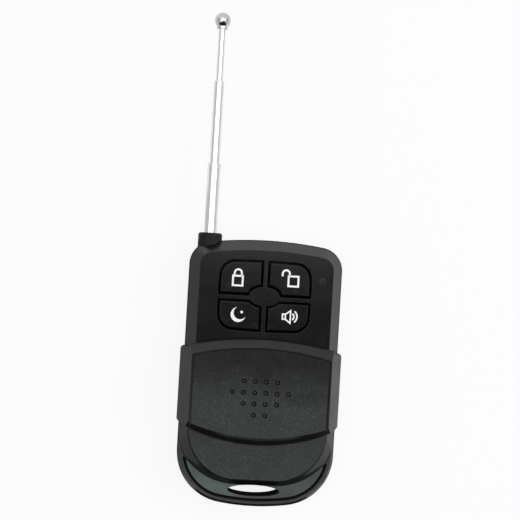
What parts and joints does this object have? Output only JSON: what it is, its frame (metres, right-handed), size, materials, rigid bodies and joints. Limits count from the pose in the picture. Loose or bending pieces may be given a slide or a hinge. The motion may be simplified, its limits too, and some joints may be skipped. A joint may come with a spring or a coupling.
{
  "type": "alarm key fob",
  "caption": "Hand-held alarm remote with keys under a sliding cover, a telescopic aerial and a keyring slot.",
  "frame": {"origin": "middle of the case's flat back face", "axes": "+Z out of the keys' face, +Y towards the aerial, +X to the right seen from the front"},
  "size_m": [0.0436, 0.133, 0.0152],
  "materials": {
    "case_front": "satin moulded",
    "case_rear": "satin moulded",
    "cover": "fine spark texture on the panel, satin slopes",
    "keys": "satin",
    "switch_plastic": "moulded",
    "switch_steel": "stamped",
    "board": "green solder mask",
    "chip_black": "moulded",
    "can": "nickel plated",
    "coil_copper": "enamelled copper",
    "trimmer_orange": "moulded",
    "chip_parts": "ceramic",
    "led_chip": "clear resin",
    "light_window": "polished",
    "aerial_chrome": "polished plating",
    "aerial_brass": "drawn",
    "collar_plastic": "moulded",
    "contact_steel": "nickel plated",
    "battery_can": "plain sleeve",
    "screw_steel": "zinc plated",
    "key_print": "printed pictograms"
  },
  "bodies": {
    "case": {"rear_shell": "case_rear", "front_shell": "case_front", "case_screws": "screw_steel", "aerial_collar": "collar_plastic", "aerial_sleeve": "aerial_brass", "aerial_clip": "contact_steel", "main_board": "board", "switch_housings": "switch_plastic", "switch_plates": "switch_steel", "encoder_chip": "chip_black", "saw_resonator": "can", "tuning_coil": "coil_copper", "trimmer_capacitor": "trimmer_orange", "rf_transistor": "chip_black", "small_board_parts": "chip_parts", "indicator_chip": "led_chip", "indicator_light_pipe": "light_window", "battery": "battery_can", "battery_plus_contact": "contact_steel", "battery_minus_contact": "contact_steel"},
    "cover": {"slide_cover": "cover"},
    "lock_button": {"lock_key": "keys", "lock_plunger": "switch_plastic"},
    "unlock_button": {"unlock_key": "keys", "unlock_plunger": "switch_plastic"},
    "night_button": {"night_key": "keys", "night_plunger": "switch_plastic"},
    "alert_button": {"alert_key": "keys", "alert_plunger": "switch_plastic"},
    "aerial_base": {"aerial_base_tube": "aerial_chrome", "aerial_base_foot": "aerial_brass"},
    "aerial_middle": {"aerial_middle_tube": "aerial_chrome", "aerial_middle_foot": "aerial_brass"},
    "aerial_tip": {"aerial_tip_rod": "aerial_chrome", "aerial_tip_foot": "aerial_brass", "aerial_tip_ball": "aerial_chrome"}
  },
  "joints": [
    {"name": "cover_slide", "type": "slide", "parent": "case", "child": "cover", "axis": [0, 1, 0], "range_m": [0, 0.021]},
    {"name": "lock_press", "type": "slide", "parent": "case", "child": "lock_button", "axis": [0, 0, -1], "range_m": [0, 0.0004], "stiffness_N_per_m": 2000},
    {"name": "unlock_press", "type": "slide", "parent": "case", "child": "unlock_button", "axis": [0, 0, -1], "range_m": [0, 0.0004], "stiffness_N_per_m": 2000},
    {"name": "night_press", "type": "slide", "parent": "case", "child": "night_button", "axis": [0, 0, -1], "range_m": [0, 0.0004], "stiffness_N_per_m": 2000},
    {"name": "alert_press", "type": "slide", "parent": "case", "child": "alert_button", "axis": [0, 0, -1], "range_m": [0, 0.0004], "stiffness_N_per_m": 2000},
    {"name": "base_section_slide", "type": "slide", "parent": "case", "child": "aerial_base", "axis": [0, 1, 0], "range_m": [-0.019, 0.0046]},
    {"name": "middle_section_slide", "type": "slide", "parent": "aerial_base", "child": "aerial_middle", "axis": [0, 1, 0], "range_m": [-0.0221, 0]},
    {"name": "tip_section_slide", "type": "slide", "parent": "aerial_middle", "child": "aerial_tip", "axis": [0, 1, 0], "range_m": [-0.0139, 0.0067]}
  ]
}
